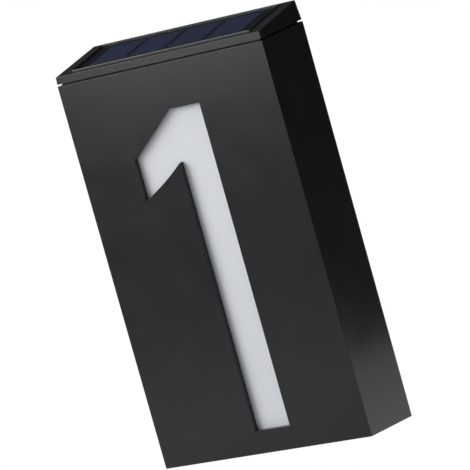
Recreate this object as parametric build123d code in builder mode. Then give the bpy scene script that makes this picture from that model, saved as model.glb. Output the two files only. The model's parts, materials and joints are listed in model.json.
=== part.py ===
"""Illuminated house number sign: a solar-powered box with the digit 1 cut through its face.

Frame: X to the right seen from the front, Y towards the wall, Z up, in millimetres.
The origin is the centre of the wall bracket's two screw holes, on its wall face.
"""
import os
from math import atan, cos, radians, tan

from build123d import *

os.makedirs("parts", exist_ok=True)

# ---------------------------------------------------------------- driving dimensions
# Housing, outside. The sides are straight; the top and bottom open towards the wall by the draft.
HOUSING_WIDTH = 105.8
FRONT_HEIGHT = 170.6
SHELL_DEPTH = 34.0
DRAFT = 2.0
RIM_Y = -0.4
FACE_Y = RIM_Y - SHELL_DEPTH
FACE_THICKNESS = 2.6
WALL = 1.8
EDGE_RADIUS = 0.12

# Numeral, as places on the face measured from the middle of the front.
STEM_LEFT = -3.0
STEM_RIGHT = 14.75
NUMERAL_TOP = 65.9
NUMERAL_BOTTOM = -75.3
TOP_LEFT = -2.0
FLAG_LEFT = -24.95
FLAG_TOP = 47.9
FLAG_BOTTOM = 29.8
NOTCH_TOP = 42.9
FLAG_UNDERSIDE = (-13.6, 35.7)

# Diffuser and the white light box behind it.
DIFFUSER_WIDTH = 49.4
DIFFUSER_HEIGHT = 151.2
DIFFUSER_X = -5.0
DIFFUSER_Z = -4.7
DIFFUSER_THICKNESS = 2.0
LOCATING_RIB = 1.2
LOCATING_RIB_HEIGHT = 4.0
BOX_DEPTH = 16.0
BOX_WALL = 1.5
BOX_CLEARANCE = 0.1
LUG_REACH = 8.0
LUG_WIDTH = 7.0
LUG_SCREW_REACH = 4.2
LUG_LEFT_Z = (-60.0, 55.0)
LUG_RIGHT_Z = (-3.0, 55.0)
LUG_BOSS_HEIGHT = 5.9
BOARD_THICKNESS = 1.6
BOARD_CORNER = 0.9
BOSS_WALL = 0.6
LEAD_PORT_Z = (62.0, 66.0)
LEAD_PORT_Y = -21.0
LEAD_PORT_SIZE = (3.0, 8.0)
LEAD_PORT_CORNER = 1.4

# LED strip.
LED_BOARD_X = 3.0
LED_BOARD_WIDTH = 10.0
LED_BOARD_BOTTOM = -72.0
LED_BOARD_TOP = 69.0
LED_COUNT = 6
LED_PITCH = 20.8
LED_MIDDLE_Z = -6.0
LED_SIZE = (2.8, 3.5, 1.9)
LED_WINDOW_RADIUS = 1.1
LED_WINDOW_DEPTH = 0.5
LED_SCREW_Z = (-68.0, 57.0)
LED_FLOOR_BOSS = 2.2

# Back plate, seal and housing screws.
PLATE_OUT_Y = -4.2
PLATE_THICKNESS = 2.0
PLATE_IN_Y = PLATE_OUT_Y - PLATE_THICKNESS
PLATE_CLEARANCE = 0.25
SEAL_THICKNESS = 1.4
SEAL_WIDTH = 2.4
LEDGE_Y = PLATE_IN_Y - SEAL_THICKNESS
LEDGE_THICKNESS = 1.5
LEDGE_ROOT = 1.2
SEAL_PLAY = 0.1
CORNER_BOSS_X = 45.0
CORNER_BOSS_Z = 78.2
CORNER_BOSS_RADIUS = 3.2
RIB_THICKNESS = 1.4

# Wall bracket and the hooks that the lamp hangs on.
BRACKET_WIDTH = 44.0
BRACKET_BOTTOM = -32.0
BRACKET_TOP = 34.0
BRACKET_THICKNESS = 1.5
BRACKET_CORNER = 4.0
WALL_HOLE_SPACING = 50.0
WALL_HOLE_RADIUS = 2.25
HOOK_X = 14.0
HOOK_WIDTH = 10.0
HOOK_SEAT_Z = 22.0
HOOK_PLAY = 0.05
HOOK_RISE = 7.05
HOOK_GAP = 0.2
HOOK_BEND = 1.6
HOOK_WINDOW_DROP = 13.0
HOOK_WINDOW_PLAY = 0.3
SLOT_WIDTH = 12.0
SLOT_DROP = 10.3
POCKET_TOP = 7.8
POCKET_DEPTH = 2.2
POCKET_WALL = 1.2
SEAT_BEVEL = 1.0
EDGE_REACH = 0.01

# Battery bay, for one AA cell standing upright behind the right-hand side of the face.
BAY_X = 35.8
BAY_WIDTH = 15.0
BAY_BOTTOM = -66.0
BAY_TOP = -10.0
BAY_FLOOR_Y = -21.4
BAY_WALL = 1.4
CELL_RADIUS = 7.1
CELL_LENGTH = 49.5
CELL_EDGE_RADIUS = 0.6
CELL_NUB_RADIUS = 2.6
CELL_NUB_HEIGHT = 1.0
CELL_NUB_CHAMFER = 0.3
CELL_FLOOR_GAP = 0.15
CONTACT_THICKNESS = 0.4
CONTACT_WIDTH = 6.0
CONTACT_SLOT_PLAY = 0.3
CONTACT_TAIL_Y = -25.2
CONTACT_REACH = 5.0
# Bends of the negative spring, as places across the cell and heights above its foot.
SPRING_FOOT = 6.4
SPRING_RISE = (5.0, 2.6)
SPRING_TOUCH = 1.6
SPRING_END = (-4.6, 2.2)
SPRING_BEND = 0.7

# Battery door, hinged along its lower edge.
DOOR_THICKNESS = 1.8
DOOR_SEAL_GAP = 0.4
DOOR_SEAL_WIDTH = 1.6
DOOR_SEAL_THICKNESS = 0.7
DOOR_SEAL_AIR = 0.1
DOOR_LAND = 0.6
DOOR_PLAY = 0.25
DOOR_FRAME_WALL = 1.6
DOOR_FRAME_FLOOR = 1.8
DOOR_SEAL_CORNER = 1.2
DOOR_LINE_MARGIN = (5.0, 4.0)
DOOR_LINE_WIDTH = 0.6
DOOR_LINE_DEPTH = 0.4
DOOR_LINE_RISE = 1.5
DOOR_LINE_CORNER = 1.5
FINGER_NOTCH_SIZE = (12.0, 5.0)
FINGER_NOTCH_DEPTH = 1.2
HINGE_RADIUS = 1.4
HINGE_PIN_RADIUS = 0.8
HINGE_HOLE_RADIUS = 0.85
HINGE_PIN_LENGTH = 1.05
HINGE_HOLE_DEPTH = 1.2
HINGE_SWEEP_GAP = 0.4
HINGE_SEAL_GAP = 0.3
TROUGH_RISE = 0.2
TROUGH_FLOOR_GAP = 0.4

# Control board with its slide switch.
CONTROL_X = 36.75
CONTROL_Z = 31.0
CONTROL_WIDTH = 18.5
CONTROL_HEIGHT = 58.0
CHIP_PLACE = (41.0, 43.0)
CHIP_SIZE = (3.9, 4.9, 1.35)
CHIP_STANDOFF = 0.15
CHIP_CHAMFER = 0.25
CHIP_LEG_SIZE = (1.6, 0.42, 0.4)
CHIP_LEG_PITCH = (5.2, 1.27)
CHIP_LEG_ROWS = 4
COIL_PLACE = (32.5, 30.5)
COIL_FLANGE_RADIUS = 3.4
COIL_WINDING_RADIUS = 2.7
COIL_LEVELS = (1.2, 4.4, 5.3)
CAPACITOR_PLACE = (41.0, 30.5)
CAPACITOR_RADIUS = 2.5
CAPACITOR_HEIGHT = 6.5
CAPACITOR_EDGE_RADIUS = 0.4
CAPACITOR_GROOVE = (1.0, 0.5, 0.25)
DIODE_PLACE = (39.3, 20.5)
DIODE_HEIGHT = 1.2
DIODE_BODY = (1.1, 4.6)
DIODE_WIRE = (0.3, 7.8)
SWITCH_HEIGHT = 3.5
SWITCH_X = 37.0
SWITCH_Z = 40.0
SWITCH_SIZE = (4.6, 9.6)
SWITCH_CAVITY = (3.2, 7.6)
SWITCH_WINDOW = (2.4, 4.8)
SWITCH_ROOF = 0.8
SWITCH_FLOOR = 0.5
SWITCH_PLATE_GAP = 0.1
SWITCH_TRAVEL = 2.0
KNOB_STEM = (2.0, 2.4)
KNOB_BASE = (2.8, 4.4)
KNOB_BASE_HEIGHT = 1.4
KNOB_PLAY = 0.15
KNOB_TOP_Y = -3.0
KNOB_EDGE_RADIUS = 0.3
PLATE_WINDOW = (3.4, 6.4)
PLATE_WINDOW_CORNER = 0.8
CONTROL_SCREWS = ((31.0, 6.0), (43.0, 55.0))

# Lid. Its rim plane rises towards the wall and is given by two edges, at depths from the face.
LID_GAP = 0.8
LID_SEAL_INSET = 1.6
LID_SEAL_WIDTH = 1.6
LID_INSET = 0.1
LID_DRAFT = 2.5
LID_EDGE_START = 0.3
LID_EDGE_END = 33.5
LID_FRONT_EDGE_Z = 89.3
LID_BACK_EDGE_Z = 95.9
LID_WALL = 3.4
LID_SKIN = 1.3
LID_EDGE_RADIUS = 0.15
LID_SCREW_X = 44.5
LID_SCREW_DEPTHS = (12.0, 21.0)
LID_BOSS_RADIUS = 2.7
LID_BOSS_ROOT = 0.6
LEAD_X = (34.0, 37.0)
LEAD_DEPTH = 17.0
LEAD_WINDOW = (13.0, 6.0)

# Pocket for the solar panel and the bezel round it, measured up the slope from the lid's front edge.
POCKET_START = 4.0
POCKET_WIDTH = 91.2
POCKET_LENGTH = 25.9
BEZEL_WIDTH = 0.9
BEZEL_RISE = 0.55
BEZEL_CORNER = 1.0
BEZEL_EDGE_RADIUS = 0.4
BEZEL_INNER_CHAMFER = 0.3

# Solar panel: a board with four cells under a clear cover.
PANEL_RISE = 0.1
PANEL_THICKNESS = 1.6
PANEL_BOARD_THICKNESS = 1.0
PANEL_TAPE = 0.3
PANEL_TAPE_MARGIN = 0.5
PANEL_PLAY = 0.3
COVER_CHAMFER = 0.1
COVER_RECESS = 0.42
COVER_RECESS_MARGIN = 0.5
CELL_COUNT = 4
CELL_PITCH = 20.1
CELL_ROW_SHIFT = 1.4
SOLAR_CELL_SIZE = (17.9, 19.2, 0.25)
RIBBON_SIZE = (4.6, 1.2, 0.12)
RIBBON_SPACING = 12.0

# Screws: radius and height of the head, radius of the shank, length under the head.
LARGE_SCREW = (2.5, 1.8, 1.2, 9.0)
SMALL_SCREW = (2.0, 1.4, 0.9, 5.0)
BOARD_SCREW = (1.7, 1.1, 0.75, 4.4)
LID_SCREW = (1.9, 1.3, 0.9, 4.2)
HEAD_FILLET = 0.45
RECESS_SPAN = 1.2
RECESS_WIDTH = 0.3
RECESS_DEPTH = 0.5
TIP_CHAMFER = 0.5
HOLE_PLAY = 0.05
CLEARANCE = 0.15
SCREW_HOLE_END = 0.6
LID_SCREW_HOLE_END = 0.3

# Wires, between soldered ends.
WIRE_RADIUS = 0.6
WIRE_BEND = 3.6
WIRE_END_GAP = 0.15
PAD_TOP_Z = 57.0
PAD_LED_Z = 50.0
PAD_BATTERY_Z = 12.0
LED_LEAD_X = (1.5, 4.5)
LED_LEAD_END_X = (30.0, 34.0)
BATTERY_LEAD_OFFSET = 2.0
GROMMET_HOLE = 2.4
GROMMET_NECK = 3.5
GROMMET_FLANGE = 4.6
GROMMET_LIP = 0.9
GROMMET_FIT = 0.02

# ---------------------------------------------------------------- derived places
FACE_IN_Y = FACE_Y + FACE_THICKNESS
BOX_FLOOR_OUT_Y = FACE_IN_Y + DIFFUSER_THICKNESS + BOX_DEPTH
BOX_FLOOR_IN_Y = BOX_FLOOR_OUT_Y - BOX_WALL
BOX_WIDTH = DIFFUSER_WIDTH - 2 * BOX_CLEARANCE
BOX_HEIGHT = DIFFUSER_HEIGHT - 2 * BOX_CLEARANCE
LUG_Y = FACE_IN_Y + LUG_BOSS_HEIGHT
LUG_POINTS = [(DIFFUSER_X - BOX_WIDTH / 2 - LUG_SCREW_REACH, z) for z in LUG_LEFT_Z]
LUG_POINTS += [(DIFFUSER_X + BOX_WIDTH / 2 + LUG_SCREW_REACH, z) for z in LUG_RIGHT_Z]
LED_BOARD_MIDDLE = (LED_BOARD_X, (LED_BOARD_TOP + LED_BOARD_BOTTOM) / 2)
LED_BOARD_FRONT_Y = BOX_FLOOR_IN_Y - BOARD_THICKNESS
LED_SCREW_POINTS = [(LED_BOARD_X, z) for z in LED_SCREW_Z]
CORNER_POINTS = [(x, z) for x in (-CORNER_BOSS_X, CORNER_BOSS_X) for z in (-CORNER_BOSS_Z, CORNER_BOSS_Z)]
SWITCH_ROOF_Y = PLATE_IN_Y - SWITCH_PLATE_GAP
CONTROL_REAR_Y = SWITCH_ROOF_Y - SWITCH_HEIGHT
CONTROL_FRONT_Y = CONTROL_REAR_Y - BOARD_THICKNESS
KNOB_Z = SWITCH_Z - SWITCH_TRAVEL / 2

HOOK_POINTS = (-HOOK_X, HOOK_X)
SLOT_BOTTOM = HOOK_SEAT_Z - SLOT_DROP
POCKET_HEIGHT = SLOT_DROP + POCKET_TOP
POCKET_Z = SLOT_BOTTOM + POCKET_HEIGHT / 2
NECK_TOP = HOOK_SEAT_Z - HOOK_PLAY
NECK_Z = NECK_TOP - BRACKET_THICKNESS / 2
TONGUE_Y = PLATE_IN_Y - HOOK_GAP - BRACKET_THICKNESS / 2

BAY_HEIGHT = BAY_TOP - BAY_BOTTOM
BAY_Z = (BAY_TOP + BAY_BOTTOM) / 2
TRAY_FLOOR_OUT_Y = BAY_FLOOR_Y - BAY_WALL
CELL_Y = BAY_FLOOR_Y + CELL_RADIUS + CELL_FLOOR_GAP
CELL_TOP = BAY_TOP - CONTACT_THICKNESS - CELL_NUB_HEIGHT
CELL_BOTTOM = CELL_TOP - CELL_LENGTH
DOOR_SEAL_SIDE = DOOR_SEAL_GAP + DOOR_SEAL_WIDTH
DOOR_SIDE = DOOR_SEAL_SIDE + DOOR_LAND
DOOR_WIDTH = BAY_WIDTH + 2 * DOOR_SIDE
DOOR_TOP = BAY_TOP + DOOR_SIDE
DOOR_IN_Y = PLATE_OUT_Y - DOOR_THICKNESS
DOOR_LEDGE_Y = DOOR_IN_Y - DOOR_SEAL_AIR - DOOR_SEAL_THICKNESS
HINGE_Y = PLATE_OUT_Y - HINGE_RADIUS
HINGE_Z = BAY_BOTTOM - DOOR_SEAL_SIDE - HINGE_SEAL_GAP - HINGE_RADIUS
DOOR_RECESS_BOTTOM = HINGE_Z - HINGE_RADIUS - HINGE_SWEEP_GAP
DOOR_RECESS_TOP = DOOR_TOP + DOOR_PLAY
DOOR_RECESS_WIDTH = DOOR_WIDTH + 2 * DOOR_PLAY
DOOR_FRAME_IN_Y = DOOR_LEDGE_Y - DOOR_FRAME_FLOOR
TROUGH_TOP = HINGE_Z + HINGE_RADIUS + TROUGH_RISE

LID_SLOPE = (LID_BACK_EDGE_Z - LID_FRONT_EDGE_Z) / (LID_EDGE_END - LID_EDGE_START)
SLOPE_COSINE = cos(atan(LID_SLOPE))
POCKET_FLOOR = PANEL_THICKNESS + PANEL_TAPE - PANEL_RISE
POCKET_MIDDLE = POCKET_START + POCKET_LENGTH / 2
PANEL_WIDTH = POCKET_WIDTH - 2 * PANEL_PLAY
PANEL_LENGTH = POCKET_LENGTH - 2 * PANEL_PLAY
CELL_ROW_MIDDLE = POCKET_MIDDLE + CELL_ROW_SHIFT
CELL_ROW_WIDTH = (CELL_COUNT - 1) * CELL_PITCH + SOLAR_CELL_SIZE[0]
LID_SCREW_POINTS = [(x, depth) for x in (-LID_SCREW_X, LID_SCREW_X) for depth in LID_SCREW_DEPTHS]
LEAD_MIDDLE_X = sum(LEAD_X) / 2
LEAD_WINDOW_PLACE = (LEAD_MIDDLE_X, (LEAD_DEPTH - LID_EDGE_START) / SLOPE_COSINE)
TOP_WALL_NORMAL = WALL * cos(radians(DRAFT))


# ---------------------------------------------------------------- helpers
def facing(y):
    """Plane square to the depth at y: local x is X, local y is Z, and it extrudes to the front."""
    return Plane(origin=(0, y, 0), x_dir=(1, 0, 0), z_dir=(0, -1, 0))


def housing_height(y, inset=0.0):
    """Height of the housing at depth y, less an inset at each end."""
    return FRONT_HEIGHT + 2 * (y - FACE_Y) * tan(radians(DRAFT)) - 2 * inset


def side_profile(front_y, rear_y, inset=0.0):
    """Corners (y, z) of the housing's side outline between two depths, less an inset at each end."""
    front = housing_height(front_y, inset) / 2
    rear = housing_height(rear_y, inset) / 2
    return [(front_y, -front), (front_y, front), (rear_y, rear), (rear_y, -rear)]


def lid_height(depth):
    """Height of the lid's rim plane above the housing's top, at a depth from the face."""
    top = FRONT_HEIGHT / 2 + depth * tan(radians(DRAFT))
    return LID_FRONT_EDGE_Z + (depth - LID_EDGE_START) * LID_SLOPE - top


def make_screw(sizes):
    """Pan-head screw with a cross recess. Its head stands on the origin and its shank points down."""
    head_radius, head_height, shank_radius, length = sizes
    with BuildPart() as screw:
        Cylinder(head_radius, head_height, align=(Align.CENTER, Align.CENTER, Align.MIN))
        fillet(screw.edges().group_by(Axis.Z)[-1], head_height * HEAD_FILLET)
        with BuildSketch(Plane.XY.offset(head_height)):
            Rectangle(head_radius * RECESS_SPAN, head_radius * RECESS_WIDTH)
            Rectangle(head_radius * RECESS_WIDTH, head_radius * RECESS_SPAN)
        extrude(amount=-head_height * RECESS_DEPTH, mode=Mode.SUBTRACT)
        with BuildSketch():
            Circle(shank_radius)
        extrude(amount=-length)
        chamfer(screw.edges().group_by(Axis.Z)[0], shank_radius * TIP_CHAMFER)
    return screw.part


def stations(points, y, direction=1):
    """Planes at (x, z) points on depth y, whose normals point along Y in the given direction."""
    return [Plane(origin=(x, y, z), x_dir=(1, 0, 0), z_dir=(0, direction, 0)) for x, z in points]


def make_wire(points, radii):
    """Round wire along straight runs joined by tangent arcs."""
    with BuildLine() as path:
        FilletPolyline(*points, radius=radii)
    with BuildSketch(Plane(origin=points[0], z_dir=path.line % 0)) as section:
        Circle(WIRE_RADIUS)
    with BuildPart() as wire:
        sweep(section.sketch, path=path.line)
    return wire.part


top_plane = Plane(
    origin=(0, FACE_Y, FRONT_HEIGHT / 2),
    x_dir=(1, 0, 0),
    z_dir=(0, -tan(radians(DRAFT)), 1),
)
rim_plane = Plane(
    origin=(0, FACE_Y + LID_EDGE_START, LID_FRONT_EDGE_Z),
    x_dir=(1, 0, 0),
    z_dir=(0, -LID_SLOPE, 1),
)
lid_plane = top_plane.offset(LID_GAP)
large_screw = make_screw(LARGE_SCREW)
small_screw = make_screw(SMALL_SCREW)
board_screw = make_screw(BOARD_SCREW)
lid_screw = make_screw(LID_SCREW)


# ---------------------------------------------------------------- front shell
with BuildPart() as front_shell:
    with BuildSketch(Plane.YZ.offset(-HOUSING_WIDTH / 2)):
        Polygon(*side_profile(FACE_Y, RIM_Y), align=None)
    extrude(amount=HOUSING_WIDTH)
    rear_edges = front_shell.edges().group_by(Axis.Y)[-1]
    fillet(front_shell.edges() - rear_edges, EDGE_RADIUS)
    with BuildSketch(Plane.YZ.offset(WALL - HOUSING_WIDTH / 2)):
        Polygon(*side_profile(FACE_IN_Y, RIM_Y, WALL), align=None)
    extrude(amount=HOUSING_WIDTH - 2 * WALL, mode=Mode.SUBTRACT)
    # Ledge for the rear seal.
    with BuildSketch(facing(LEDGE_Y)):
        Rectangle(HOUSING_WIDTH - 2 * LEDGE_ROOT, housing_height(LEDGE_Y, LEDGE_ROOT))
        Rectangle(
            HOUSING_WIDTH - 2 * (WALL + SEAL_WIDTH),
            housing_height(LEDGE_Y, WALL + SEAL_WIDTH),
            mode=Mode.SUBTRACT,
        )
    extrude(amount=LEDGE_THICKNESS)
    # Corner bosses for the housing screws, each with a rib to the side wall.
    with BuildSketch(facing(PLATE_IN_Y)):
        with Locations(*CORNER_POINTS):
            Circle(CORNER_BOSS_RADIUS)
    extrude(amount=PLATE_IN_Y - FACE_IN_Y)
    rib_reach = HOUSING_WIDTH / 2 - WALL / 2 - CORNER_BOSS_X
    with BuildSketch(facing(LEDGE_Y)):
        for x, z in CORNER_POINTS:
            with Locations((x + (rib_reach / 2 if x > 0 else -rib_reach / 2), z)):
                Rectangle(rib_reach, RIB_THICKNESS)
    extrude(amount=LEDGE_Y - FACE_IN_Y)
    with BuildSketch(facing(PLATE_IN_Y)):
        with Locations(*CORNER_POINTS):
            Circle(LARGE_SCREW[2] + HOLE_PLAY)
    extrude(amount=LARGE_SCREW[3] - PLATE_THICKNESS + SCREW_HOLE_END, mode=Mode.SUBTRACT)
    # Rib that locates the diffuser, and the bosses for the light box.
    with BuildSketch(facing(FACE_IN_Y + LOCATING_RIB_HEIGHT)):
        with Locations((DIFFUSER_X, DIFFUSER_Z)):
            Rectangle(
                DIFFUSER_WIDTH + 2 * (BOX_CLEARANCE + LOCATING_RIB),
                DIFFUSER_HEIGHT + 2 * (BOX_CLEARANCE + LOCATING_RIB),
            )
            Rectangle(
                DIFFUSER_WIDTH + 2 * BOX_CLEARANCE,
                DIFFUSER_HEIGHT + 2 * BOX_CLEARANCE,
                mode=Mode.SUBTRACT,
            )
    extrude(amount=LOCATING_RIB_HEIGHT)
    with BuildSketch(facing(LUG_Y)):
        with Locations(*LUG_POINTS):
            Circle(SMALL_SCREW[0] + BOSS_WALL)
            Circle(SMALL_SCREW[2] + HOLE_PLAY, mode=Mode.SUBTRACT)
    extrude(amount=LUG_BOSS_HEIGHT)
    # The digit. The lower edge of its flag is slightly hollow.
    with BuildSketch(facing(FACE_IN_Y)):
        with BuildLine():
            Polyline(
                (FLAG_LEFT, FLAG_BOTTOM),
                (FLAG_LEFT, FLAG_TOP),
                (TOP_LEFT, NUMERAL_TOP),
                (STEM_RIGHT, NUMERAL_TOP),
                (STEM_RIGHT, NUMERAL_BOTTOM),
                (STEM_LEFT, NUMERAL_BOTTOM),
                (STEM_LEFT, NOTCH_TOP),
            )
            ThreePointArc((STEM_LEFT, NOTCH_TOP), FLAG_UNDERSIDE, (FLAG_LEFT, FLAG_BOTTOM))
        make_face()
    extrude(amount=FACE_THICKNESS, mode=Mode.SUBTRACT)
    # Holes in the top wall for the lid screws and the panel leads.
    with BuildSketch(top_plane.offset(-2 * WALL)):
        with Locations(*LID_SCREW_POINTS):
            Circle(LID_SCREW[2] + CLEARANCE)
        with Locations((LEAD_MIDDLE_X, LEAD_DEPTH)):
            Circle(GROMMET_NECK)
    extrude(amount=3 * WALL, mode=Mode.SUBTRACT)

# ---------------------------------------------------------------- diffuser
with BuildPart() as number_diffuser:
    with BuildSketch(facing(FACE_IN_Y + DIFFUSER_THICKNESS)):
        with Locations((DIFFUSER_X, DIFFUSER_Z)):
            RectangleRounded(DIFFUSER_WIDTH, DIFFUSER_HEIGHT, BOARD_CORNER)
    extrude(amount=DIFFUSER_THICKNESS)

# ---------------------------------------------------------------- light box
with BuildPart() as light_box:
    with BuildSketch(facing(BOX_FLOOR_OUT_Y)):
        with Locations((DIFFUSER_X, DIFFUSER_Z)):
            RectangleRounded(BOX_WIDTH, BOX_HEIGHT, BOARD_CORNER)
    extrude(amount=BOX_DEPTH)
    with BuildSketch(facing(BOX_FLOOR_IN_Y)):
        with Locations((DIFFUSER_X, DIFFUSER_Z)):
            Rectangle(BOX_WIDTH - 2 * BOX_WALL, BOX_HEIGHT - 2 * BOX_WALL)
    extrude(amount=BOX_DEPTH, mode=Mode.SUBTRACT)
    # Screw lugs on both sides.
    with BuildSketch(facing(LUG_Y + BOX_WALL)):
        for x, z in LUG_POINTS:
            side = 1 if x > DIFFUSER_X else -1
            with Locations((DIFFUSER_X + side * (BOX_WIDTH + LUG_REACH - BOX_WALL / 2) / 2, z)):
                Rectangle(LUG_REACH + BOX_WALL / 2, LUG_WIDTH)
        with Locations(*LUG_POINTS):
            Circle(SMALL_SCREW[2] + CLEARANCE, mode=Mode.SUBTRACT)
    extrude(amount=BOX_WALL)
    # Screw bosses behind the floor for the LED board.
    with BuildSketch(facing(BOX_FLOOR_OUT_Y + LED_FLOOR_BOSS)):
        with Locations(*LED_SCREW_POINTS):
            Circle(BOARD_SCREW[0] + BOSS_WALL)
    extrude(amount=LED_FLOOR_BOSS)
    with BuildSketch(facing(BOX_FLOOR_OUT_Y + LED_FLOOR_BOSS)):
        with Locations(*LED_SCREW_POINTS):
            Circle(BOARD_SCREW[2] + HOLE_PLAY)
    extrude(amount=LED_FLOOR_BOSS + BOX_WALL, mode=Mode.SUBTRACT)
    # Port in the right-hand wall for the LED leads.
    with BuildSketch(Plane.YZ.offset(DIFFUSER_X + BOX_WIDTH / 2 - 2 * BOX_WALL)):
        with Locations((LEAD_PORT_Y, sum(LEAD_PORT_Z) / 2)):
            RectangleRounded(LEAD_PORT_SIZE[0], LEAD_PORT_SIZE[1], LEAD_PORT_CORNER)
    extrude(amount=3 * BOX_WALL, mode=Mode.SUBTRACT)

with BuildPart() as light_box_screws:
    with Locations(*stations(LUG_POINTS, LUG_Y + BOX_WALL)):
        add(small_screw)

# ---------------------------------------------------------------- LED strip
with BuildPart() as led_board:
    with BuildSketch(facing(BOX_FLOOR_IN_Y)):
        with Locations(LED_BOARD_MIDDLE):
            RectangleRounded(LED_BOARD_WIDTH, LED_BOARD_TOP - LED_BOARD_BOTTOM, BOARD_CORNER)
        with Locations(*LED_SCREW_POINTS):
            Circle(BOARD_SCREW[2] + CLEARANCE, mode=Mode.SUBTRACT)
    extrude(amount=BOARD_THICKNESS)

with BuildPart() as leds:
    with BuildSketch(facing(LED_BOARD_FRONT_Y)):
        with Locations((LED_BOARD_X, LED_MIDDLE_Z)):
            with GridLocations(LED_PITCH, LED_PITCH, 1, LED_COUNT):
                Rectangle(LED_SIZE[0], LED_SIZE[1])
    extrude(amount=LED_SIZE[2])
    with BuildSketch(facing(LED_BOARD_FRONT_Y - LED_SIZE[2] + LED_WINDOW_DEPTH)):
        with Locations((LED_BOARD_X, LED_MIDDLE_Z)):
            with GridLocations(LED_PITCH, LED_PITCH, 1, LED_COUNT):
                Circle(LED_WINDOW_RADIUS)
    extrude(amount=LED_WINDOW_DEPTH, mode=Mode.SUBTRACT)

with BuildPart() as led_board_screws:
    with Locations(*stations(LED_SCREW_POINTS, LED_BOARD_FRONT_Y, -1)):
        add(board_screw)

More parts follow.
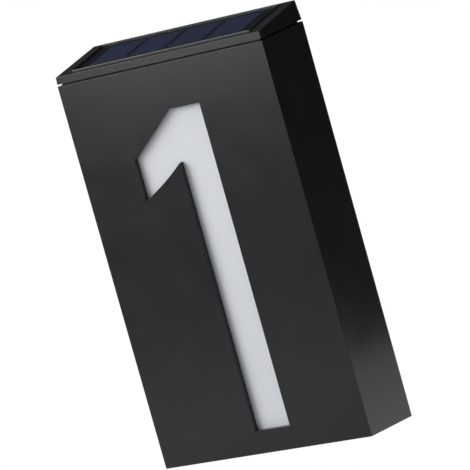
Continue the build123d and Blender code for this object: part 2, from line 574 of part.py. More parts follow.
# ---------------------------------------------------------------- back plate
plate_inset = WALL + PLATE_CLEARANCE
with BuildPart() as back_plate:
    with BuildSketch(Plane.YZ.offset(plate_inset - HOUSING_WIDTH / 2)):
        Polygon(*side_profile(PLATE_IN_Y, PLATE_OUT_Y, plate_inset), align=None)
    extrude(amount=HOUSING_WIDTH - 2 * plate_inset)
    # Closed pockets behind the two hook slots.
    with BuildSketch(facing(PLATE_IN_Y)):
        for x in HOOK_POINTS:
            with Locations((x, POCKET_Z)):
                Rectangle(SLOT_WIDTH + 2 * POCKET_WALL, POCKET_HEIGHT + 2 * POCKET_WALL)
    extrude(amount=POCKET_DEPTH + POCKET_WALL)
    with BuildSketch(facing(PLATE_IN_Y)):
        for x in HOOK_POINTS:
            with Locations((x, POCKET_Z)):
                Rectangle(SLOT_WIDTH, POCKET_HEIGHT)
    extrude(amount=POCKET_DEPTH, mode=Mode.SUBTRACT)
    with BuildSketch(facing(PLATE_OUT_Y)):
        for x in HOOK_POINTS:
            with Locations((x, HOOK_SEAT_Z - SLOT_DROP / 2)):
                Rectangle(SLOT_WIDTH, SLOT_DROP)
    extrude(amount=PLATE_THICKNESS, mode=Mode.SUBTRACT)
    # Bevel that clears the bend of each hook.
    seat_edges = back_plate.edges().filter_by(Axis.X)
    seat_edges = seat_edges.filter_by_position(Axis.Z, HOOK_SEAT_Z - EDGE_REACH, HOOK_SEAT_Z + EDGE_REACH)
    seat_edges = seat_edges.filter_by_position(Axis.Y, PLATE_IN_Y - EDGE_REACH, PLATE_IN_Y + EDGE_REACH)
    chamfer(seat_edges, SEAT_BEVEL)
    # Frame round the door, and the battery tray below it.
    frame_top = DOOR_RECESS_TOP + DOOR_FRAME_WALL
    frame_bottom = DOOR_RECESS_BOTTOM - DOOR_FRAME_WALL
    with BuildSketch(facing(PLATE_IN_Y)):
        with Locations((BAY_X, (frame_top + frame_bottom) / 2)):
            Rectangle(DOOR_RECESS_WIDTH + 2 * DOOR_FRAME_WALL, frame_top - frame_bottom)
    extrude(amount=PLATE_IN_Y - DOOR_FRAME_IN_Y)
    with BuildSketch(facing(DOOR_FRAME_IN_Y)):
        with Locations((BAY_X, BAY_Z)):
            Rectangle(BAY_WIDTH + 2 * BAY_WALL, BAY_HEIGHT + 2 * BAY_WALL)
    extrude(amount=DOOR_FRAME_IN_Y - TRAY_FLOOR_OUT_Y)
    with BuildSketch(facing(PLATE_OUT_Y)):
        with Locations((BAY_X, BAY_Z)):
            Rectangle(BAY_WIDTH, BAY_HEIGHT)
    extrude(amount=PLATE_OUT_Y - BAY_FLOOR_Y, mode=Mode.SUBTRACT)
    with BuildSketch(facing(PLATE_OUT_Y)):
        with Locations((BAY_X, (DOOR_RECESS_TOP + DOOR_RECESS_BOTTOM) / 2)):
            Rectangle(DOOR_RECESS_WIDTH, DOOR_RECESS_TOP - DOOR_RECESS_BOTTOM)
    extrude(amount=PLATE_OUT_Y - DOOR_LEDGE_Y, mode=Mode.SUBTRACT)
    # Trough for the hinge barrel, and the sockets for its pins.
    with BuildSketch(facing(PLATE_OUT_Y)):
        with Locations((BAY_X, (TROUGH_TOP + DOOR_RECESS_BOTTOM) / 2)):
            Rectangle(DOOR_RECESS_WIDTH, TROUGH_TOP - DOOR_RECESS_BOTTOM)
    extrude(amount=2 * HINGE_RADIUS + TROUGH_FLOOR_GAP, mode=Mode.SUBTRACT)
    socket_span = DOOR_WIDTH + 2 * HINGE_HOLE_DEPTH
    with BuildSketch(Plane.YZ.offset(BAY_X - socket_span / 2)):
        with Locations((HINGE_Y, HINGE_Z)):
            Circle(HINGE_HOLE_RADIUS)
    extrude(amount=socket_span, mode=Mode.SUBTRACT)
    # Finger notch above the door.
    with BuildSketch(facing(PLATE_OUT_Y)):
        with Locations((BAY_X, DOOR_RECESS_TOP)):
            SlotOverall(FINGER_NOTCH_SIZE[0], FINGER_NOTCH_SIZE[1])
    extrude(amount=FINGER_NOTCH_DEPTH, mode=Mode.SUBTRACT)
    # Slots for the contact tails, at both ends of the tray's floor.
    with BuildSketch(facing(BAY_FLOOR_Y)):
        for z in (BAY_BOTTOM + CONTACT_THICKNESS / 2, BAY_TOP - CONTACT_THICKNESS / 2):
            with Locations((BAY_X, z)):
                Rectangle(CONTACT_WIDTH + CONTACT_SLOT_PLAY, CONTACT_THICKNESS)
    extrude(amount=BAY_WALL, mode=Mode.SUBTRACT)
    # Bosses for the control board, the switch window and the housing screw holes.
    with BuildSketch(facing(PLATE_IN_Y)):
        with Locations(*CONTROL_SCREWS):
            Circle(BOARD_SCREW[0] + BOSS_WALL)
    extrude(amount=PLATE_IN_Y - CONTROL_REAR_Y)
    with BuildSketch(facing(CONTROL_REAR_Y)):
        with Locations(*CONTROL_SCREWS):
            Circle(BOARD_SCREW[2] + HOLE_PLAY)
    extrude(amount=-(BOARD_SCREW[3] - BOARD_THICKNESS + SCREW_HOLE_END), mode=Mode.SUBTRACT)
    with BuildSketch(facing(PLATE_OUT_Y)):
        with Locations((SWITCH_X, SWITCH_Z)):
            RectangleRounded(PLATE_WINDOW[0], PLATE_WINDOW[1], PLATE_WINDOW_CORNER)
        with Locations(*CORNER_POINTS):
            Circle(LARGE_SCREW[2] + CLEARANCE)
    extrude(amount=PLATE_THICKNESS, mode=Mode.SUBTRACT)

seal_out = WALL + SEAL_PLAY
seal_in = WALL + SEAL_WIDTH - SEAL_PLAY
with BuildPart() as back_seal:
    with BuildSketch(facing(PLATE_IN_Y)):
        Rectangle(HOUSING_WIDTH - 2 * seal_out, housing_height(LEDGE_Y, seal_out))
        Rectangle(HOUSING_WIDTH - 2 * seal_in, housing_height(LEDGE_Y, seal_in), mode=Mode.SUBTRACT)
    extrude(amount=SEAL_THICKNESS)

with BuildPart() as housing_screws:
    with Locations(*stations(CORNER_POINTS, PLATE_OUT_Y)):
        add(large_screw)

# ---------------------------------------------------------------- battery door
with BuildPart() as battery_door:
    with BuildSketch(facing(PLATE_OUT_Y)):
        with Locations((BAY_X, (DOOR_TOP + HINGE_Z) / 2)):
            Rectangle(DOOR_WIDTH, DOOR_TOP - HINGE_Z)
    extrude(amount=DOOR_THICKNESS)
    with BuildSketch(Plane.YZ.offset(BAY_X - DOOR_WIDTH / 2)):
        with Locations((HINGE_Y, HINGE_Z)):
            Circle(HINGE_RADIUS)
    extrude(amount=DOOR_WIDTH)
    with BuildSketch(Plane.YZ.offset(BAY_X - DOOR_WIDTH / 2 - HINGE_PIN_LENGTH)):
        with Locations((HINGE_Y, HINGE_Z)):
            Circle(HINGE_PIN_RADIUS)
    extrude(amount=DOOR_WIDTH + 2 * HINGE_PIN_LENGTH)
    # Shallow panel line on the door.
    line_width = DOOR_WIDTH - DOOR_LINE_MARGIN[0]
    line_height = BAY_HEIGHT - DOOR_LINE_MARGIN[1]
    with BuildSketch(facing(PLATE_OUT_Y)):
        with Locations((BAY_X, BAY_Z + DOOR_LINE_RISE)):
            RectangleRounded(line_width, line_height, DOOR_LINE_CORNER)
            RectangleRounded(
                line_width - 2 * DOOR_LINE_WIDTH,
                line_height - 2 * DOOR_LINE_WIDTH,
                DOOR_LINE_CORNER - DOOR_LINE_WIDTH,
                mode=Mode.SUBTRACT,
            )
    extrude(amount=DOOR_LINE_DEPTH, mode=Mode.SUBTRACT)

with BuildPart() as battery_door_seal:
    with BuildSketch(facing(DOOR_LEDGE_Y + DOOR_SEAL_THICKNESS)):
        with Locations((BAY_X, BAY_Z)):
            RectangleRounded(
                BAY_WIDTH + 2 * DOOR_SEAL_SIDE,
                BAY_HEIGHT + 2 * DOOR_SEAL_SIDE,
                DOOR_SEAL_CORNER,
            )
            Rectangle(
                BAY_WIDTH + 2 * DOOR_SEAL_GAP,
                BAY_HEIGHT + 2 * DOOR_SEAL_GAP,
                mode=Mode.SUBTRACT,
            )
    extrude(amount=DOOR_SEAL_THICKNESS)

# ---------------------------------------------------------------- battery and contacts
with BuildPart() as battery_cell:
    with BuildSketch(Plane(origin=(BAY_X, CELL_Y, CELL_BOTTOM))):
        Circle(CELL_RADIUS)
    extrude(amount=CELL_LENGTH)
    fillet(battery_cell.edges(), CELL_EDGE_RADIUS)
    with BuildSketch(Plane(origin=(BAY_X, CELL_Y, CELL_TOP))):
        Circle(CELL_NUB_RADIUS)
    extrude(amount=CELL_NUB_HEIGHT)
    chamfer(battery_cell.edges().group_by(Axis.Z)[-1], CELL_NUB_CHAMFER)

with BuildPart() as battery_contact_positive:
    with BuildSketch(Plane.YZ.offset(BAY_X - CONTACT_WIDTH / 2)):
        with BuildLine() as positive_strip:
            contact_z = BAY_TOP - CONTACT_THICKNESS / 2
            Line((CONTACT_TAIL_Y, contact_z), (CELL_Y + CONTACT_REACH, contact_z))
        trace(positive_strip.line, line_width=CONTACT_THICKNESS)
    extrude(amount=CONTACT_WIDTH)

with BuildPart() as battery_contact_negative:
    with BuildSketch(Plane.YZ.offset(BAY_X - CONTACT_WIDTH / 2)):
        with BuildLine() as negative_strip:
            contact_z = BAY_BOTTOM + CONTACT_THICKNESS / 2
            touch_z = CELL_BOTTOM - CONTACT_THICKNESS / 2
            FilletPolyline(
                (CONTACT_TAIL_Y, contact_z),
                (CELL_Y + SPRING_FOOT, contact_z),
                (CELL_Y + SPRING_RISE[0], contact_z + SPRING_RISE[1]),
                (CELL_Y + SPRING_TOUCH, touch_z),
                (CELL_Y - SPRING_TOUCH, touch_z),
                (CELL_Y + SPRING_END[0], contact_z + SPRING_END[1]),
                radius=SPRING_BEND,
            )
        trace(negative_strip.line, line_width=CONTACT_THICKNESS)
    extrude(amount=CONTACT_WIDTH)

# ---------------------------------------------------------------- control board
with BuildPart() as control_board:
    with BuildSketch(facing(CONTROL_REAR_Y)):
        with Locations((CONTROL_X, CONTROL_Z)):
            RectangleRounded(CONTROL_WIDTH, CONTROL_HEIGHT, BOARD_CORNER)
        with Locations(*CONTROL_SCREWS):
            Circle(BOARD_SCREW[2] + CLEARANCE, mode=Mode.SUBTRACT)
    extrude(amount=BOARD_THICKNESS)

with BuildPart() as control_board_screws:
    with Locations(*stations(CONTROL_SCREWS, CONTROL_FRONT_Y, -1)):
        add(board_screw)

with BuildPart() as driver_chip:
    with BuildSketch(facing(CONTROL_FRONT_Y - CHIP_STANDOFF)):
        with Locations(CHIP_PLACE):
            Rectangle(CHIP_SIZE[0], CHIP_SIZE[1])
    extrude(amount=CHIP_SIZE[2])
    chamfer(driver_chip.edges().group_by(Axis.Y)[0], CHIP_CHAMFER)
    # Legs on both sides, down to the board.
    with BuildSketch(facing(CONTROL_FRONT_Y)):
        with Locations(CHIP_PLACE):
            with GridLocations(CHIP_LEG_PITCH[0], CHIP_LEG_PITCH[1], 2, CHIP_LEG_ROWS):
                Rectangle(CHIP_LEG_SIZE[0], CHIP_LEG_SIZE[1])
    extrude(amount=CHIP_LEG_SIZE[2])

coil_radii = (COIL_FLANGE_RADIUS, COIL_WINDING_RADIUS, COIL_FLANGE_RADIUS)
with BuildPart() as boost_coil:
    for start, end, radius in zip((0, *COIL_LEVELS), COIL_LEVELS, coil_radii):
        with BuildSketch(facing(CONTROL_FRONT_Y - start)):
            with Locations(COIL_PLACE):
                Circle(radius)
        extrude(amount=end - start)

groove_height, groove_width, groove_depth = CAPACITOR_GROOVE
with BuildPart() as buffer_capacitor:
    with BuildSketch(facing(CONTROL_FRONT_Y)):
        with Locations(CAPACITOR_PLACE):
            Circle(CAPACITOR_RADIUS)
    extrude(amount=CAPACITOR_HEIGHT)
    fillet(buffer_capacitor.edges().group_by(Axis.Y)[0], CAPACITOR_EDGE_RADIUS)
    with BuildSketch(facing(CONTROL_FRONT_Y - groove_height)):
        with Locations(CAPACITOR_PLACE):
            Circle(CAPACITOR_RADIUS + groove_depth)
            Circle(CAPACITOR_RADIUS - groove_depth, mode=Mode.SUBTRACT)
    extrude(amount=groove_width, mode=Mode.SUBTRACT)

with BuildPart() as panel_diode:
    for radius, length in (DIODE_BODY, DIODE_WIRE):
        with BuildSketch(Plane.YZ.offset(DIODE_PLACE[0] - length / 2)):
            with Locations((CONTROL_FRONT_Y - DIODE_HEIGHT, DIODE_PLACE[1])):
                Circle(radius)
        extrude(amount=length)

# ---------------------------------------------------------------- slide switch
with BuildPart() as switch_housing:
    with BuildSketch(facing(SWITCH_ROOF_Y)):
        with Locations((SWITCH_X, SWITCH_Z)):
            Rectangle(SWITCH_SIZE[0], SWITCH_SIZE[1])
    extrude(amount=SWITCH_HEIGHT)
    with BuildSketch(facing(SWITCH_ROOF_Y - SWITCH_ROOF)):
        with Locations((SWITCH_X, SWITCH_Z)):
            Rectangle(SWITCH_CAVITY[0], SWITCH_CAVITY[1])
    extrude(amount=SWITCH_HEIGHT - SWITCH_ROOF - SWITCH_FLOOR, mode=Mode.SUBTRACT)
    with BuildSketch(facing(SWITCH_ROOF_Y)):
        with Locations((SWITCH_X, SWITCH_Z)):
            Rectangle(SWITCH_WINDOW[0], SWITCH_WINDOW[1])
    extrude(amount=SWITCH_ROOF, mode=Mode.SUBTRACT)

knob_base_y = SWITCH_ROOF_Y - SWITCH_ROOF - KNOB_PLAY
with BuildPart() as switch_knob:
    with BuildSketch(facing(knob_base_y)):
        with Locations((SWITCH_X, KNOB_Z)):
            Rectangle(KNOB_BASE[0], KNOB_BASE[1])
    extrude(amount=KNOB_BASE_HEIGHT)
    with BuildSketch(facing(KNOB_TOP_Y)):
        with Locations((SWITCH_X, KNOB_Z)):
            Rectangle(KNOB_STEM[0], KNOB_STEM[1])
    extrude(amount=KNOB_TOP_Y - knob_base_y)
    fillet(switch_knob.edges().group_by(Axis.Y)[-1], KNOB_EDGE_RADIUS)

# ---------------------------------------------------------------- wall bracket
with BuildPart() as wall_bracket:
    with BuildSketch(facing(0)):
        with Locations((0, (BRACKET_TOP + BRACKET_BOTTOM) / 2)):
            RectangleRounded(BRACKET_WIDTH, BRACKET_TOP - BRACKET_BOTTOM, BRACKET_CORNER)
        with GridLocations(WALL_HOLE_SPACING, WALL_HOLE_SPACING, 1, 2):
            Circle(WALL_HOLE_RADIUS, mode=Mode.SUBTRACT)
        # Windows that the hooks are bent out of.
        for x in HOOK_POINTS:
            with Locations((x, NECK_TOP - BRACKET_THICKNESS - HOOK_WINDOW_DROP / 2)):
                Rectangle(HOOK_WIDTH + 2 * HOOK_WINDOW_PLAY, HOOK_WINDOW_DROP, mode=Mode.SUBTRACT)
    extrude(amount=BRACKET_THICKNESS)
    for x in HOOK_POINTS:
        with BuildSketch(Plane.YZ.offset(x - HOOK_WIDTH / 2)):
            with BuildLine() as hook_line:
                FilletPolyline(
                    (-BRACKET_THICKNESS / 2, NECK_Z),
                    (TONGUE_Y, NECK_Z),
                    (TONGUE_Y, NECK_TOP + HOOK_RISE),
                    radius=HOOK_BEND,
                )
            trace(hook_line.line, line_width=BRACKET_THICKNESS)
        extrude(amount=HOOK_WIDTH)

# ---------------------------------------------------------------- lid
lid_middle = (0, SHELL_DEPTH / 2)
lid_reach = LID_BACK_EDGE_Z - FRONT_HEIGHT / 2
hollow_inset = LID_INSET + LID_WALL
with BuildPart() as lid_hollow:
    with BuildSketch(lid_plane):
        with Locations(lid_middle):
            Rectangle(HOUSING_WIDTH - 2 * hollow_inset, SHELL_DEPTH - 2 * hollow_inset)
    extrude(amount=lid_reach, taper=LID_DRAFT)
    split(bisect_by=rim_plane.offset(-(POCKET_FLOOR + LID_SKIN)), keep=Keep.BOTTOM)

with BuildPart() as solar_lid:
    with BuildSketch(lid_plane):
        with Locations(lid_middle):
            Rectangle(HOUSING_WIDTH - 2 * LID_INSET, SHELL_DEPTH - 2 * LID_INSET)
    extrude(amount=lid_reach, taper=LID_DRAFT)
    split(bisect_by=rim_plane, keep=Keep.BOTTOM)
    lower_face = solar_lid.faces().sort_by(Axis.Z)[0]
    fillet(solar_lid.edges() - lower_face.edges(), LID_EDGE_RADIUS)
    add(lid_hollow.part, mode=Mode.SUBTRACT)
    # Bosses for the lid screws, standing on the housing's top.
    for depth in LID_SCREW_DEPTHS:
        roof = lid_height(depth) - (POCKET_FLOOR + LID_SKIN) / SLOPE_COSINE
        with BuildSketch(top_plane):
            with Locations((-LID_SCREW_X, depth), (LID_SCREW_X, depth)):
                Circle(LID_BOSS_RADIUS)
        extrude(amount=roof + LID_BOSS_ROOT)
    with BuildSketch(top_plane):
        with Locations(*LID_SCREW_POINTS):
            Circle(LID_SCREW[2] + HOLE_PLAY)
    extrude(amount=LID_SCREW[3] - WALL + LID_SCREW_HOLE_END, mode=Mode.SUBTRACT)
    # Bezel round the panel.
    with BuildSketch(rim_plane):
        with Locations((0, POCKET_MIDDLE)):
            RectangleRounded(POCKET_WIDTH + 2 * BEZEL_WIDTH, POCKET_LENGTH + 2 * BEZEL_WIDTH, BEZEL_CORNER)
    extrude(amount=BEZEL_RISE)
    bezel_face = solar_lid.faces().filter_by(rim_plane).sort_by(Axis.Z)[-1]
    fillet(bezel_face.edges(), BEZEL_EDGE_RADIUS)
    # Pocket for the panel, and the window for its leads.
    with BuildSketch(rim_plane.offset(BEZEL_RISE)):
        with Locations((0, POCKET_MIDDLE)):
            Rectangle(POCKET_WIDTH, POCKET_LENGTH)
    extrude(amount=-(POCKET_FLOOR + BEZEL_RISE), mode=Mode.SUBTRACT)
    bezel_ring = solar_lid.faces().filter_by(rim_plane).sort_by(Axis.Z)[-1]
    chamfer(bezel_ring.inner_wires()[0].edges(), BEZEL_INNER_CHAMFER)
    with BuildSketch(rim_plane):
        with Locations(LEAD_WINDOW_PLACE):
            Rectangle(LEAD_WINDOW[0], LEAD_WINDOW[1])
    extrude(amount=-(POCKET_FLOOR + 2 * LID_SKIN), mode=Mode.SUBTRACT)

with BuildPart() as lid_seal:
    with BuildSketch(top_plane):
        with Locations(lid_middle):
            for inset, mode in ((LID_SEAL_INSET, Mode.ADD), (LID_SEAL_INSET + LID_SEAL_WIDTH, Mode.SUBTRACT)):
                Rectangle(HOUSING_WIDTH - 2 * inset, SHELL_DEPTH - 2 * inset, mode=mode)
    extrude(amount=LID_GAP)

lid_screw_planes = []
for x, depth in LID_SCREW_POINTS:
    head_seat = top_plane.from_local_coords((x, depth, -TOP_WALL_NORMAL))
    lid_screw_planes.append(Plane(origin=head_seat, x_dir=(1, 0, 0), z_dir=-top_plane.z_dir))
with BuildPart() as lid_screws:
    with Locations(*lid_screw_planes):
        add(lid_screw)

# ---------------------------------------------------------------- solar panel
board_under = rim_plane.offset(PANEL_RISE - PANEL_THICKNESS)
board_upper = board_under.offset(PANEL_BOARD_THICKNESS)
with BuildPart() as panel_tape:
    with BuildSketch(rim_plane.offset(-POCKET_FLOOR)):
        with Locations((0, POCKET_MIDDLE)):
            Rectangle(PANEL_WIDTH - 2 * PANEL_TAPE_MARGIN, PANEL_LENGTH - 2 * PANEL_TAPE_MARGIN)
        with Locations(LEAD_WINDOW_PLACE):
            Rectangle(
                LEAD_WINDOW[0] + 2 * PANEL_TAPE_MARGIN,
                LEAD_WINDOW[1] + 2 * PANEL_TAPE_MARGIN,
                mode=Mode.SUBTRACT,
            )
    extrude(amount=PANEL_TAPE)

with BuildPart() as solar_board:
    with BuildSketch(board_under):
        with Locations((0, POCKET_MIDDLE)):
            Rectangle(PANEL_WIDTH, PANEL_LENGTH)
    extrude(amount=PANEL_BOARD_THICKNESS)

with BuildPart() as solar_cells:
    with BuildSketch(board_upper):
        with Locations((0, CELL_ROW_MIDDLE)):
            with GridLocations(CELL_PITCH, CELL_PITCH, CELL_COUNT, 1):
                Rectangle(SOLAR_CELL_SIZE[0], SOLAR_CELL_SIZE[1])
    extrude(amount=SOLAR_CELL_SIZE[2])

with BuildPart() as cell_ribbons:
    with BuildSketch(board_upper.offset(SOLAR_CELL_SIZE[2])):
        with Locations((0, CELL_ROW_MIDDLE)):
            with GridLocations(CELL_PITCH, RIBBON_SPACING, CELL_COUNT - 1, 2):
                Rectangle(RIBBON_SIZE[0], RIBBON_SIZE[1])
    extrude(amount=RIBBON_SIZE[2])

with BuildPart() as solar_cover:
    with BuildSketch(board_upper):
        with Locations((0, POCKET_MIDDLE)):
            Rectangle(PANEL_WIDTH, PANEL_LENGTH)
    extrude(amount=PANEL_THICKNESS - PANEL_BOARD_THICKNESS)
    chamfer(solar_cover.faces().sort_by(Axis.Z)[-1].edges(), COVER_CHAMFER)
    with BuildSketch(board_upper):
        with Locations((0, CELL_ROW_MIDDLE)):
            Rectangle(
                CELL_ROW_WIDTH + 2 * COVER_RECESS_MARGIN,
                SOLAR_CELL_SIZE[1] + 2 * COVER_RECESS_MARGIN,
            )
    extrude(amount=COVER_RECESS, mode=Mode.SUBTRACT)

# ---------------------------------------------------------------- grommet and wires
lead_spot = (LEAD_MIDDLE_X, LEAD_DEPTH)
under_wall = top_plane.offset(-TOP_WALL_NORMAL)
with BuildPart() as lead_grommet:
    with BuildSketch(under_wall.offset(-GROMMET_LIP)):
        with Locations(lead_spot):
            Circle(GROMMET_FLANGE)
    extrude(amount=GROMMET_LIP)
    with BuildSketch(under_wall):
        with Locations(lead_spot):
            Circle(GROMMET_NECK - GROMMET_FIT)
    extrude(amount=TOP_WALL_NORMAL)
    with BuildSketch(top_plane):
        with Locations(lead_spot):
            Circle(GROMMET_FLANGE)
    extrude(amount=GROMMET_LIP)
    with BuildSketch(under_wall.offset(-GROMMET_LIP)):
        with Locations(lead_spot):
            Circle(GROMMET_HOLE)
    extrude(amount=TOP_WALL_NORMAL + 2 * GROMMET_LIP, mode=Mode.SUBTRACT)

lead_y = FACE_Y + LEAD_DEPTH
panel_under_z = LID_FRONT_EDGE_Z + (LEAD_DEPTH - LID_EDGE_START) * LID_SLOPE
panel_under_z += (PANEL_RISE - PANEL_THICKNESS) / SLOPE_COSINE - WIRE_END_GAP
with BuildPart() as panel_leads:
    for x in LEAD_X:
        add(make_wire(
            [(x, lead_y, panel_under_z), (x, lead_y, PAD_TOP_Z), (x, CONTROL_FRONT_Y, PAD_TOP_Z)],
            [WIRE_BEND],
        ))

with BuildPart() as led_leads:
    for x, end_x, z in zip(LED_LEAD_X, LED_LEAD_END_X, LEAD_PORT_Z):
        add(make_wire(
            [
                (x, LED_BOARD_FRONT_Y, z),
                (x, LEAD_PORT_Y, z),
                (end_x, LEAD_PORT_Y, z),
                (end_x, LEAD_PORT_Y, PAD_LED_Z),
                (end_x, CONTROL_FRONT_Y, PAD_LED_Z),
            ],
            [WIRE_BEND, WIRE_BEND, WIRE_BEND],
        ))

battery_lead_y = CONTACT_TAIL_Y - WIRE_RADIUS
battery_lead_ends = ((-BATTERY_LEAD_OFFSET, BAY_BOTTOM), (BATTERY_LEAD_OFFSET, BAY_TOP - CONTACT_THICKNESS))
with BuildPart() as battery_leads:
    for offset, start_z in battery_lead_ends:
        x = BAY_X + offset
        add(make_wire(
            [
                (x, battery_lead_y, start_z),
                (x, battery_lead_y, PAD_BATTERY_Z),
                (x, CONTROL_FRONT_Y, PAD_BATTERY_Z),
            ],
            [WIRE_BEND],
        ))


# ---------------------------------------------------------------- write the pieces
pieces = {
    "wall_bracket": wall_bracket,
    "front_shell": front_shell,
    "number_diffuser": number_diffuser,
    "light_box": light_box,
    "light_box_screws": light_box_screws,
    "led_board": led_board,
    "leds": leds,
    "led_board_screws": led_board_screws,
    "back_plate": back_plate,
    "back_seal": back_seal,
    "housing_screws": housing_screws,
    "battery_door": battery_door,
    "battery_door_seal": battery_door_seal,
    "battery_cell": battery_cell,
    "battery_contact_positive": battery_contact_positive,
    "battery_contact_negative": battery_contact_negative,
    "control_board": control_board,
    "control_board_screws": control_board_screws,
    "driver_chip": driver_chip,
    "boost_coil": boost_coil,
    "buffer_capacitor": buffer_capacitor,
    "panel_diode": panel_diode,
    "switch_housing": switch_housing,
    "switch_knob": switch_knob,
    "solar_lid": solar_lid,
    "lid_seal": lid_seal,
    "lid_screws": lid_screws,
    "panel_tape": panel_tape,
    "solar_board": solar_board,
    "solar_cells": solar_cells,
    "cell_ribbons": cell_ribbons,
    "solar_cover": solar_cover,
    "lead_grommet": lead_grommet,
    "panel_leads": panel_leads,
    "led_leads": led_leads,
    "battery_leads": battery_leads,
}
for name, piece in pieces.items():
    piece.part.label = name
    export_step(piece.part, f"parts/{name}.step")
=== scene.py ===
"""Looks, light and camera for the illuminated house number sign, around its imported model."""
import json
from math import cos, pi, radians, sin

import bpy
from mathutils import Matrix, Vector

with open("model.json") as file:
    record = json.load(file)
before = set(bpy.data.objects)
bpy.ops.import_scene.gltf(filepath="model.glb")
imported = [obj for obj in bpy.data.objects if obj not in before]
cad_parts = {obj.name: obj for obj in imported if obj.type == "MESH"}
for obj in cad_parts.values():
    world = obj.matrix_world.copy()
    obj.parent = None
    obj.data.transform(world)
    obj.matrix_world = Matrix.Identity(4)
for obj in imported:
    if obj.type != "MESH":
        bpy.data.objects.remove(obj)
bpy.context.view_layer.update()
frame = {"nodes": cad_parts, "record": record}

MM = 0.001


# ---------------------------------------------------------------- node helpers
def new_material(name):
    """A fresh material, its node tree and its Principled shader."""
    material = bpy.data.materials.new(name)
    material.use_nodes = True
    tree = material.node_tree
    return material, tree, tree.nodes["Principled BSDF"]


def math_node(tree, operation, first, second=None, third=None):
    """A Math node fed by numbers or sockets. Returns its output."""
    node = tree.nodes.new("ShaderNodeMath")
    node.operation = operation
    for socket, value in zip(node.inputs, (first, second, third)):
        if value is None:
            continue
        if isinstance(value, (int, float)):
            socket.default_value = value
        else:
            tree.links.new(value, socket)
    return node.outputs[0]


def position(tree):
    """The row frame's coordinates in metres, as a vector and as its three parts."""
    coordinates = tree.nodes.new("ShaderNodeTexCoord").outputs["Object"]
    split = tree.nodes.new("ShaderNodeSeparateXYZ")
    tree.links.new(coordinates, split.inputs[0])
    return coordinates, split.outputs[0], split.outputs[1], split.outputs[2]


def scaled(tree, vector, scale):
    """The vector stretched by three factors."""
    node = tree.nodes.new("ShaderNodeMapping")
    node.inputs["Scale"].default_value = scale
    tree.links.new(vector, node.inputs["Vector"])
    return node.outputs[0]


def noise(tree, vector, scale, detail=2.0, roughness=0.5):
    """A noise pattern's 0 to 1 output, at a scale in features per metre."""
    node = tree.nodes.new("ShaderNodeTexNoise")
    node.inputs["Scale"].default_value = scale
    node.inputs["Detail"].default_value = detail
    node.inputs["Roughness"].default_value = roughness
    tree.links.new(vector, node.inputs["Vector"])
    return node.outputs["Fac"]


def spread(tree, value, low, high, start=0.0, end=1.0):
    """Maps value from start..end to low..high, and no further."""
    node = tree.nodes.new("ShaderNodeMapRange")
    node.inputs["From Min"].default_value = start
    node.inputs["From Max"].default_value = end
    node.inputs["To Min"].default_value = low
    node.inputs["To Max"].default_value = high
    tree.links.new(value, node.inputs["Value"])
    return node.outputs[0]


def blend_colours(tree, factor, first, second):
    """A colour between first and second, each a colour or a socket."""
    node = tree.nodes.new("ShaderNodeMix")
    node.data_type = "RGBA"
    tree.links.new(factor, node.inputs["Factor"])
    for socket, value in ((node.inputs["A"], first), (node.inputs["B"], second)):
        if isinstance(value, tuple):
            socket.default_value = (*value, 1.0)
        else:
            tree.links.new(value, socket)
    return node.outputs["Result"]


def shade(colour, factor):
    """The colour times a factor."""
    return tuple(channel * factor for channel in colour)


def bump(tree, shader, pattern, height):
    """Raises the surface by a 0 to 1 pattern of the given height in metres."""
    node = tree.nodes.new("ShaderNodeBump")
    node.inputs["Distance"].default_value = height
    tree.links.new(pattern, node.inputs["Height"])
    tree.links.new(node.outputs["Normal"], shader.inputs["Normal"])


# ---------------------------------------------------------------- plain finishes
CLOUD_SHARE = 0.6
GLOSS_SPREAD = 0.05
GLOSS_RANGE = (0.25, 0.75)


def grained(
    name,
    colour,
    roughness,
    mottle=0.1,
    mottle_scale=120.0,
    grain_scale=2600.0,
    grain_height=0.012 * MM,
    stretch=(1, 1, 1),
    metallic=0.0,
    specular=0.5,
):
    """A moulded, rubber or metal surface: faint mottling, uneven gloss and a fine grain."""
    material, tree, shader = new_material(name)
    vector = position(tree)[0]
    stretched = scaled(tree, vector, stretch)
    clouds = noise(tree, vector, mottle_scale, 3.0)
    grain = noise(tree, stretched, grain_scale)
    mottled = blend_colours(tree, clouds, shade(colour, 1 - mottle), shade(colour, 1 + mottle))
    tree.links.new(mottled, shader.inputs["Base Color"])
    cloud_part = math_node(tree, "MULTIPLY", clouds, CLOUD_SHARE)
    grain_part = math_node(tree, "MULTIPLY", grain, 1 - CLOUD_SHARE)
    unevenness = math_node(tree, "ADD", cloud_part, grain_part)
    gloss = spread(tree, unevenness, roughness - GLOSS_SPREAD, roughness + GLOSS_SPREAD, *GLOSS_RANGE)
    tree.links.new(gloss, shader.inputs["Roughness"])
    shader.inputs["Metallic"].default_value = metallic
    shader.inputs["Specular IOR Level"].default_value = specular
    bump(tree, shader, grain, grain_height)
    return material


def brushed(name, colour, roughness, stretch):
    """Metal with fine lines drawn along one axis."""
    return grained(
        name,
        colour,
        roughness,
        mottle=0.12,
        mottle_scale=90.0,
        grain_scale=1800.0,
        grain_height=0.01 * MM,
        stretch=stretch,
        metallic=1.0,
    )


